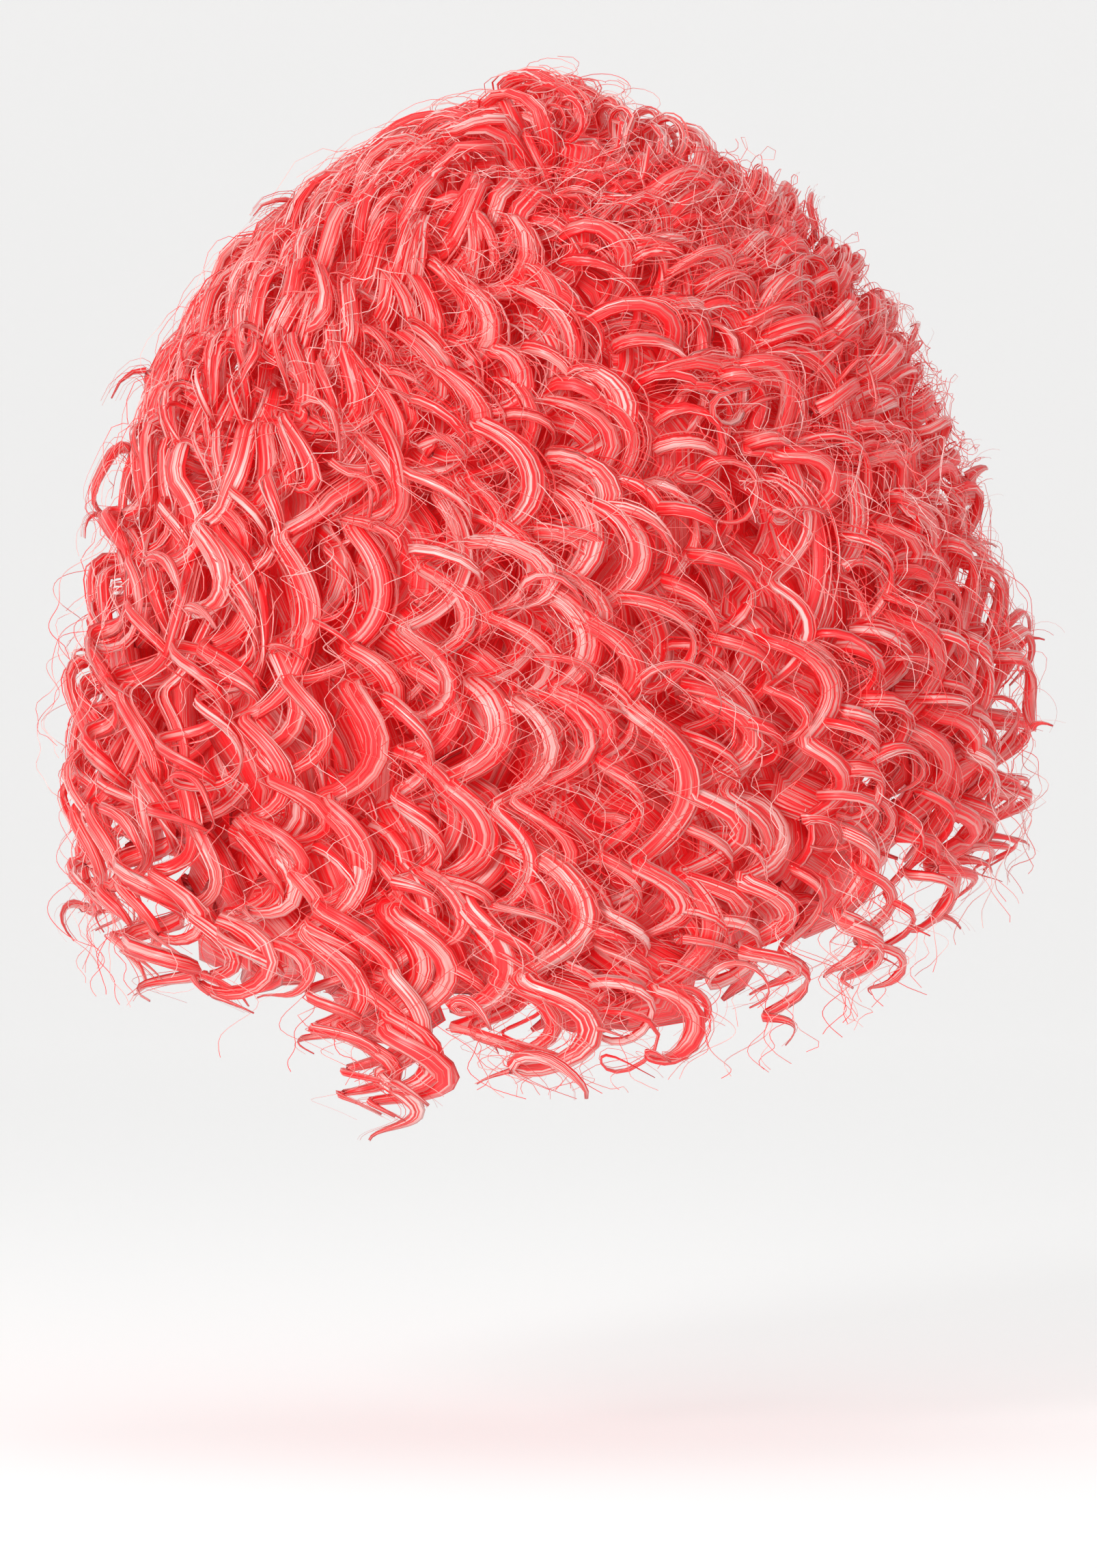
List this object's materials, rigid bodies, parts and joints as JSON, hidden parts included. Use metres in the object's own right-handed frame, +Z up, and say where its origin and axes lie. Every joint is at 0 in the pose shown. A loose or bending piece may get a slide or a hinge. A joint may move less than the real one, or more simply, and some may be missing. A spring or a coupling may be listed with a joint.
{
  "type": "clown wig",
  "caption": "Shoulder-length curly clown wig in coral red, worn form: net cap with an elastic edge band and rings of weft with long ringlets, open at face and neck.",
  "frame": {"origin": "where the top of the wearer's head touches the inside of the cap's crown", "axes": "+Z up, -Y towards the back of the wig, +Y out of the face opening, +X to the right when it is seen from behind"},
  "size_m": [0.345, 0.2801, 0.3749],
  "materials": {
    "cap_net": "fine black nylon net, dull",
    "edge_elastic": "ribbed black elastic tape, dull",
    "hair_fibre": "coral red synthetic hair in glossy curled strands with pale highlights"
  },
  "bodies": {
    "root": {"wig_cap": "cap_net", "edge_band": "edge_elastic", "crown_swirl": "hair_fibre", "upper_weft": "hair_fibre", "middle_weft": "hair_fibre", "lower_weft": "hair_fibre", "nape_weft": "hair_fibre"}
  },
  "joints": []
}
